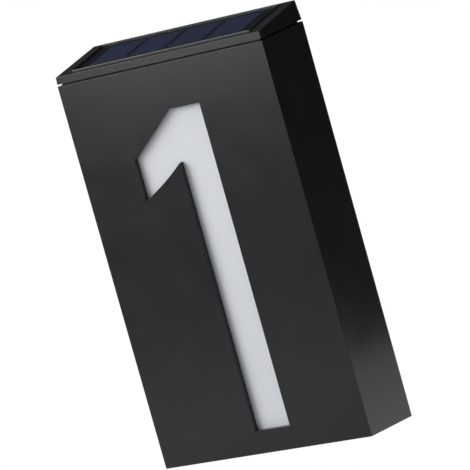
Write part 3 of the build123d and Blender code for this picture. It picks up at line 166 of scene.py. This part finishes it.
GRAINED_FINISHES = {
    # Anthracite satin moulding of the housing and lid.
    "housing_plastic": {
        "colour": (0.0220, 0.0226, 0.0243),
        "roughness": 0.24,
        "mottle": 0.07,
        "mottle_scale": 60.0,
        "grain_scale": 3200.0,
        "grain_height": 0.006 * MM,
    },
    "rear_plastic": {
        "colour": (0.0155, 0.0155, 0.0165),
        "roughness": 0.5,
        "mottle": 0.08,
        "mottle_scale": 90.0,
        "grain_scale": 2200.0,
        "grain_height": 0.015 * MM,
    },
    "knob_plastic": {
        "colour": (0.70, 0.70, 0.68),
        "roughness": 0.42,
        "mottle": 0.03,
        "mottle_scale": 400.0,
        "grain_scale": 3000.0,
    },
    "reflector_white": {
        "colour": (0.74, 0.74, 0.72),
        "roughness": 0.45,
        "mottle": 0.03,
    },
    "seal_rubber": {
        "colour": (0.030, 0.030, 0.031),
        "roughness": 0.72,
        "mottle": 0.15,
        "mottle_scale": 600.0,
        "grain_scale": 4000.0,
        "grain_height": 0.03 * MM,
        "specular": 0.3,
    },
    "foam_tape": {
        "colour": (0.02, 0.02, 0.02),
        "roughness": 0.8,
        "mottle": 0.2,
        "mottle_scale": 900.0,
        "grain_scale": 5000.0,
        "grain_height": 0.03 * MM,
    },
    "led_board_white": {
        "colour": (0.72, 0.73, 0.70),
        "roughness": 0.35,
        "mottle": 0.03,
        "mottle_scale": 300.0,
    },
    "chip_black": {
        "colour": (0.012, 0.012, 0.013),
        "roughness": 0.5,
        "mottle_scale": 800.0,
        "grain_scale": 6000.0,
        "grain_height": 0.01 * MM,
    },
    "panel_backing": {
        "colour": (0.006, 0.007, 0.009),
        "roughness": 0.45,
        "mottle_scale": 300.0,
        "grain_scale": 4000.0,
        "grain_height": 0.01 * MM,
    },
    # The ribbons lie under a dark coat, as the photograph shows none of them bright.
    "ribbon_tin": {
        "colour": (0.009, 0.010, 0.014),
        "roughness": 0.42,
        "mottle": 0.15,
        "mottle_scale": 300.0,
        "grain_scale": 4000.0,
        "grain_height": 0.01 * MM,
        "stretch": (0.1, 1, 1),
    },
}
# Colour, roughness and the stretch that draws the lines.
BRUSHED_FINISHES = {
    "bracket_steel": ((0.50, 0.51, 0.52), 0.36, (0.05, 1, 1)),
    "screw_steel": ((0.60, 0.60, 0.60), 0.26, (1, 0.1, 1)),
    "contact_nickel": ((0.66, 0.64, 0.58), 0.28, (1, 1, 0.1)),
}


# ---------------------------------------------------------------- diffuser and solar panel
def opal_diffuser():
    """Milky acrylic, faintly clouded, with a frosted face."""
    material, tree, shader = new_material("opal_diffuser")
    vector = position(tree)[0]
    clouds = noise(tree, vector, 45.0, 3.0)
    tint = blend_colours(tree, clouds, (0.70, 0.724, 0.764), (0.737, 0.76, 0.80))
    tree.links.new(tint, shader.inputs["Base Color"])
    frost = noise(tree, vector, 4200.0)
    tree.links.new(spread(tree, frost, 0.42, 0.5), shader.inputs["Roughness"])
    shader.inputs["Specular IOR Level"].default_value = 0.3
    bump(tree, shader, frost, 0.004 * MM)
    return material


FINGER_SPACING = 0.6 * MM
FINGER_HALF_WIDTH = 0.035 * MM
FINGER_STRENGTH = 0.35
FINGER_COLOUR = (0.09, 0.10, 0.13)


def solar_silicon():
    """Dark blue cell with fine printed fingers across it."""
    material, tree, shader = new_material("solar_silicon")
    vector, x, _, _ = position(tree)
    cloud = noise(tree, scaled(tree, vector, (1, 1.6, 1)), 260.0)
    silicon = blend_colours(tree, cloud, (0.0236, 0.0300, 0.0745), (0.0378, 0.0459, 0.107))
    finger = math_node(tree, "PINGPONG", x, FINGER_SPACING)
    finger_mask = math_node(tree, "LESS_THAN", finger, FINGER_HALF_WIDTH)
    finger_share = math_node(tree, "MULTIPLY", finger_mask, FINGER_STRENGTH)
    lined = blend_colours(tree, finger_share, silicon, FINGER_COLOUR)
    tree.links.new(lined, shader.inputs["Base Color"])
    tree.links.new(spread(tree, cloud, 0.3, 0.42), shader.inputs["Roughness"])
    bump(tree, shader, finger_mask, 0.01 * MM)
    return material


GLASS_IOR = 1.45


def panel_glass():
    """Clear cover over the cells. Its outer face mirrors by angle, and the rest passes straight through."""
    material, tree, shader = new_material("panel_glass")
    tree.nodes.remove(shader)
    vector = position(tree)[0]
    haze = noise(tree, vector, 300.0)
    gloss = tree.nodes.new("ShaderNodeBsdfGlossy")
    tree.links.new(spread(tree, haze, 0.04, 0.09), gloss.inputs["Roughness"])
    clear = tree.nodes.new("ShaderNodeBsdfTransparent")
    tint = blend_colours(tree, haze, (0.93, 0.96, 0.98), (0.97, 0.985, 1.0))
    tree.links.new(tint, clear.inputs["Color"])
    mirror = tree.nodes.new("ShaderNodeFresnel")
    mirror.inputs["IOR"].default_value = GLASS_IOR
    inside = tree.nodes.new("ShaderNodeNewGeometry").outputs["Backfacing"]
    outside = math_node(tree, "SUBTRACT", 1.0, inside)
    mix = tree.nodes.new("ShaderNodeMixShader")
    tree.links.new(math_node(tree, "MULTIPLY", mirror.outputs[0], outside), mix.inputs["Fac"])
    tree.links.new(clear.outputs[0], mix.inputs[1])
    tree.links.new(gloss.outputs[0], mix.inputs[2])
    tree.links.new(mix.outputs[0], tree.nodes["Material Output"].inputs["Surface"])
    return material


# ---------------------------------------------------------------- electric parts
def circuit_board():
    """Green solder mask with lighter copper tracks under it."""
    track_period, track_width = 0.12, 0.045
    material, tree, shader = new_material("circuit_board")
    vector = position(tree)[0]
    cells = tree.nodes.new("ShaderNodeTexVoronoi")
    cells.distance = "MANHATTAN"
    cells.feature = "F2"
    cells.inputs["Scale"].default_value = 210.0
    tree.links.new(vector, cells.inputs["Vector"])
    ripple = math_node(tree, "PINGPONG", cells.outputs["Distance"], track_period)
    tracks = math_node(tree, "LESS_THAN", ripple, track_width)
    green = blend_colours(tree, tracks, (0.012, 0.085, 0.035), (0.03, 0.17, 0.075))
    tree.links.new(green, shader.inputs["Base Color"])
    tree.links.new(spread(tree, noise(tree, vector, 900.0), 0.28, 0.4), shader.inputs["Roughness"])
    bump(tree, shader, tracks, 0.03 * MM)
    return material


LED_COLUMN_X = 3.0 * MM
LED_MIDWAY_Z = -6.0 * MM
LED_PITCH = 20.8 * MM
LED_WINDOW_RADIUS = 1.12 * MM


def led_package():
    """White package whose round window is filled with yellow phosphor."""
    material, tree, shader = new_material("led_package")
    vector, x, _, z = position(tree)
    across = math_node(tree, "SUBTRACT", x, LED_COLUMN_X)
    height = math_node(tree, "SUBTRACT", z, LED_MIDWAY_Z)
    steps = math_node(tree, "DIVIDE", height, LED_PITCH)
    from_centre = math_node(tree, "SUBTRACT", math_node(tree, "FRACT", steps), 0.5)
    along = math_node(tree, "MULTIPLY", from_centre, LED_PITCH)
    along_square = math_node(tree, "MULTIPLY", along, along)
    square = math_node(tree, "MULTIPLY_ADD", across, across, along_square)
    inside = math_node(tree, "LESS_THAN", square, LED_WINDOW_RADIUS ** 2)
    grains = noise(tree, vector, 5000.0)
    phosphor = blend_colours(tree, grains, (0.68, 0.52, 0.05), (0.85, 0.70, 0.12))
    package = blend_colours(tree, inside, (0.8, 0.8, 0.77), phosphor)
    tree.links.new(package, shader.inputs["Base Color"])
    tree.links.new(spread(tree, grains, 0.3, 0.5), shader.inputs["Roughness"])
    return material


def banded(name, sleeve_colour, metal_colour, sleeve_ends, axis, sleeve_roughness, metal_roughness):
    """A sleeve between two places along an axis (0, 1 or 2), with bare metal beyond it."""
    material, tree, shader = new_material(name)
    parts = position(tree)
    vector, place = parts[0], parts[1 + axis]
    above = math_node(tree, "GREATER_THAN", place, sleeve_ends[0])
    below = math_node(tree, "LESS_THAN", place, sleeve_ends[1])
    sleeve = math_node(tree, "MULTIPLY", above, below)
    fleck = noise(tree, vector, 700.0, 3.0)
    printed = blend_colours(tree, fleck, shade(sleeve_colour, 0.9), shade(sleeve_colour, 1.1))
    bare = blend_colours(tree, fleck, shade(metal_colour, 0.9), metal_colour)
    tree.links.new(blend_colours(tree, sleeve, bare, printed), shader.inputs["Base Color"])
    tree.links.new(math_node(tree, "SUBTRACT", 1.0, sleeve), shader.inputs["Metallic"])
    gloss = spread(tree, sleeve, metal_roughness, sleeve_roughness)
    tree.links.new(math_node(tree, "MULTIPLY_ADD", fleck, 0.06, gloss), shader.inputs["Roughness"])
    bump(tree, shader, fleck, 0.006 * MM)
    return material


def cell_sleeve():
    """The battery cell's green sleeve between its bare steel ends."""
    return banded(
        "cell_sleeve",
        sleeve_colour=(0.02, 0.16, 0.07),
        metal_colour=(0.62, 0.62, 0.61),
        sleeve_ends=(-59.9 * MM, -12.3 * MM),
        axis=2,
        sleeve_roughness=0.25,
        metal_roughness=0.3,
    )


def capacitor_sleeve():
    """The capacitor's dark sleeve up to its bare top."""
    return banded(
        "capacitor_sleeve",
        sleeve_colour=(0.012, 0.014, 0.03),
        metal_colour=(0.7, 0.7, 0.7),
        sleeve_ends=(-17.8 * MM, 0.0),
        axis=1,
        sleeve_roughness=0.25,
        metal_roughness=0.35,
    )


WINDING_MIDDLE_Y = -14.2 * MM
WINDING_HALF_LENGTH = 1.6 * MM
WINDING_HALF_PITCH = 0.15 * MM


def coil_copper():
    """Enamelled winding between two dark ferrite flanges, its copper painted darker in the grooves as shade
    and lighter on the crests.
    """
    material, tree, shader = new_material("coil_copper")
    vector, _, y, _ = position(tree)
    ripple = math_node(tree, "PINGPONG", y, WINDING_HALF_PITCH)
    turn_height_and_shade = math_node(tree, "DIVIDE", ripple, WINDING_HALF_PITCH)
    wound = math_node(tree, "COMPARE", y, WINDING_MIDDLE_Y, WINDING_HALF_LENGTH)
    # Painted shade: the copper goes darker towards each groove of the winding and lighter on the crests,
    # following the bump's height.
    copper = blend_colours(tree, turn_height_and_shade, (0.30, 0.10, 0.035), (0.62, 0.27, 0.11))
    coil = blend_colours(tree, wound, (0.02, 0.02, 0.022), copper)
    tree.links.new(coil, shader.inputs["Base Color"])
    tree.links.new(wound, shader.inputs["Metallic"])
    tree.links.new(spread(tree, noise(tree, vector, 900.0), 0.3, 0.45), shader.inputs["Roughness"])
    bump(tree, shader, turn_height_and_shade, 0.08 * MM)
    return material


# The X between the two wires of each pair.
WIRE_SPLITS = {"panel_leads": 35.5 * MM, "led_leads": 32.0 * MM, "battery_leads": 35.8 * MM}


def wire_pair(name, split):
    """Red insulation on the wire beyond the split in X, black on the other."""
    material, tree, shader = new_material(name)
    vector, x, _, _ = position(tree)
    red_side = math_node(tree, "GREATER_THAN", x, split)
    smear = noise(tree, vector, 500.0)
    red = blend_colours(tree, smear, (0.38, 0.012, 0.01), (0.5, 0.02, 0.015))
    insulation = blend_colours(tree, red_side, (0.012, 0.012, 0.013), red)
    tree.links.new(insulation, shader.inputs["Base Color"])
    tree.links.new(spread(tree, smear, 0.35, 0.5), shader.inputs["Roughness"])
    bump(tree, shader, noise(tree, vector, 2500.0), 0.004 * MM)
    return material


# ---------------------------------------------------------------- materials in their slots
slot_materials = {
    "opal_diffuser": opal_diffuser(),
    "solar_silicon": solar_silicon(),
    "panel_glass": panel_glass(),
    "circuit_board": circuit_board(),
    "led_package": led_package(),
    "cell_sleeve": cell_sleeve(),
    "capacitor_sleeve": capacitor_sleeve(),
    "coil_copper": coil_copper(),
}
for finish, settings in GRAINED_FINISHES.items():
    slot_materials[finish] = grained(finish, **settings)
for finish, settings in BRUSHED_FINISHES.items():
    slot_materials[finish] = brushed(finish, *settings)

for entry in frame["record"]["subparts"]:
    node_name = entry["node"]
    if node_name in WIRE_SPLITS:
        material = wire_pair(node_name + "_insulation", WIRE_SPLITS[node_name])
    else:
        material = slot_materials[entry["material_slot"]]
    for slot in frame["nodes"][node_name].material_slots:
        slot.material = material

# ---------------------------------------------------------------- camera
# Solved on the photograph's straight edges. The focal length is in pixels of its width.
IMAGE_SIZE = 470
FOCAL_LENGTH_PX = 4104.847
SENSOR_WIDTH = 36.0
CAMERA_AT = Vector((0.968028, -1.440809, 0.212591))
AZIMUTH = radians(34.14681)
ELEVATION = radians(6.84888)
ROLL = radians(-15.67506)


def direction(azimuth, elevation):
    """The unit vector from the object towards a compass angle from the front and a height angle."""
    level = cos(elevation)
    return Vector((sin(azimuth) * level, -cos(azimuth) * level, sin(elevation)))


towards_camera = direction(AZIMUTH, ELEVATION)
level_right = (-towards_camera).cross(Vector((0, 0, 1))).normalized()
level_up = level_right.cross(-towards_camera)
camera_right = cos(ROLL) * level_right + sin(ROLL) * level_up
camera_up = cos(ROLL) * level_up - sin(ROLL) * level_right
camera_turn = Matrix((camera_right, camera_up, towards_camera)).transposed().to_4x4()

camera_data = bpy.data.cameras.new("camera")
camera_data.sensor_fit = "HORIZONTAL"
camera_data.sensor_width = SENSOR_WIDTH
camera_data.lens = FOCAL_LENGTH_PX / IMAGE_SIZE * SENSOR_WIDTH
camera_data.clip_start = 0.01
camera_data.clip_end = 50.0
camera = bpy.data.objects.new("camera", camera_data)
camera.matrix_world = Matrix.Translation(CAMERA_AT) @ camera_turn
bpy.context.scene.collection.objects.link(camera)
bpy.context.scene.camera = camera


# ---------------------------------------------------------------- floor
def seen_white(tree, base_shader, output, share):
    """Shows plain white to the camera and in mirrors and glass, and base_shader to all other light."""
    path = tree.nodes.new("ShaderNodeLightPath")
    seen = math_node(tree, "MAXIMUM", path.outputs["Is Camera Ray"], path.outputs["Is Glossy Ray"])
    seen = math_node(tree, "MAXIMUM", seen, path.outputs["Is Transmission Ray"])
    white = tree.nodes.new("ShaderNodeEmission")
    white.inputs["Strength"].default_value = 1.0
    mix = tree.nodes.new("ShaderNodeMixShader")
    tree.links.new(math_node(tree, "MULTIPLY", seen, share), mix.inputs["Fac"])
    tree.links.new(base_shader, mix.inputs[1])
    tree.links.new(white.outputs[0], mix.inputs[2])
    tree.links.new(mix.outputs[0], output)


FLOOR_Z = -0.30
FLOOR_LEFT, FLOOR_RIGHT = -1.0, 1.0
FLOOR_FRONT, FLOOR_BACK = -0.7, 0.9
# The shadow under the object shows in full near the middle and fades out before the part of the
# floor that the photograph's frame takes in.
SHADOW_FULL_RADIUS = 0.1
SHADOW_END_RADIUS = 0.45
WHITE_SHARE_NEAR = 0.5


def floor_paper():
    """White paper that keeps the object's shadow in the middle and is plain white further out."""
    material, tree, shader = new_material("floor_paper")
    vector, x, y, _ = position(tree)
    tint = blend_colours(tree, noise(tree, vector, 30.0), (0.80, 0.80, 0.80), (0.82, 0.82, 0.82))
    tree.links.new(tint, shader.inputs["Base Color"])
    shader.inputs["Roughness"].default_value = 0.8
    radius_square = math_node(tree, "MULTIPLY_ADD", x, x, math_node(tree, "MULTIPLY", y, y))
    radius = math_node(tree, "SQRT", radius_square)
    share = spread(tree, radius, WHITE_SHARE_NEAR, 1.0, SHADOW_FULL_RADIUS, SHADOW_END_RADIUS)
    output = tree.nodes["Material Output"].inputs["Surface"]
    seen_white(tree, shader.outputs[0], output, share)
    return material


floor_corners = [
    (FLOOR_LEFT, FLOOR_FRONT, FLOOR_Z),
    (FLOOR_RIGHT, FLOOR_FRONT, FLOOR_Z),
    (FLOOR_RIGHT, FLOOR_BACK, FLOOR_Z),
    (FLOOR_LEFT, FLOOR_BACK, FLOOR_Z),
]
floor_mesh = bpy.data.meshes.new("floor")
floor_mesh.from_pydata(floor_corners, [], [(0, 1, 2, 3)])
floor_mesh.materials.append(floor_paper())
floor = bpy.data.objects.new("floor", floor_mesh)
bpy.context.scene.collection.objects.link(floor)

# ---------------------------------------------------------------- world
# White to the camera and through glass, dim in mirrors, and a plain fill for all other light.
WORLD_LEVEL = 0.085
ROOM_LEVEL = 0.03
world = bpy.data.worlds.new("studio")
world.use_nodes = True
bpy.context.scene.world = world
world_tree = world.node_tree
backdrop = world_tree.nodes["Background"]
backdrop.inputs["Color"].default_value = (1, 1, 1, 1)
path = world_tree.nodes.new("ShaderNodeLightPath")
glossy_ray = path.outputs["Is Glossy Ray"]
seen = math_node(world_tree, "MAXIMUM", path.outputs["Is Camera Ray"], path.outputs["Is Transmission Ray"])
mirrored = math_node(world_tree, "MULTIPLY", glossy_ray, ROOM_LEVEL - WORLD_LEVEL)
level = math_node(world_tree, "MULTIPLY_ADD", seen, 1 - WORLD_LEVEL, WORLD_LEVEL)
world_tree.links.new(math_node(world_tree, "ADD", level, mirrored), backdrop.inputs["Strength"])


# ---------------------------------------------------------------- lamps
def area_lamp(name, size, energy, place, facing):
    """A rectangular lamp at a place, shining in the direction that it faces."""
    lamp = bpy.data.lights.new(name, "AREA")
    lamp.shape = "RECTANGLE"
    lamp.size, lamp.size_y = size
    lamp.energy = energy
    holder = bpy.data.objects.new(name, lamp)
    turn = facing.to_track_quat("-Z", "Y").to_matrix().to_4x4()
    holder.matrix_world = Matrix.Translation(place) @ turn
    bpy.context.scene.collection.objects.link(holder)


def softbox(name, azimuth, elevation, distance, size, power):
    """A lamp at a direction in degrees from the object, facing the frame's origin."""
    place = direction(radians(azimuth), radians(elevation)) * distance
    area_lamp(name, size, power, place, -place)


def mirrored_card(name, start, normal_axis, distance, size, radiance):
    """A dim lamp hung in the mirrored line of sight from a point on a face square to an axis."""
    sight = (CAMERA_AT - Vector(start)).normalized()
    line = -sight
    line[normal_axis] = sight[normal_axis]
    energy = radiance * pi * size[0] * size[1]
    area_lamp(name, size, energy, Vector(start) + line * distance, -line)


softbox("key", azimuth=-50, elevation=28, distance=1.1, size=(0.62, 0.7), power=9.9)
softbox("top", azimuth=-60, elevation=68, distance=1.0, size=(0.4, 0.4), power=2.3)

SIDE_POINT = (0.0529, -0.017, -0.112)
UPPER_FACE_POINT = (0.14, -0.0344, 0.190)
LOWER_FACE_POINT = (0.0, -0.0344, -0.062)
mirrored_card("side_low", SIDE_POINT, 0, distance=0.17, size=(0.22, 0.13), radiance=0.58)
mirrored_card("face_high", UPPER_FACE_POINT, 1, distance=0.50, size=(0.40, 0.28), radiance=1.75)
mirrored_card("face_low", LOWER_FACE_POINT, 1, distance=0.40, size=(0.30, 0.06), radiance=0.4)

bpy.context.scene.view_settings.view_transform = "Standard"
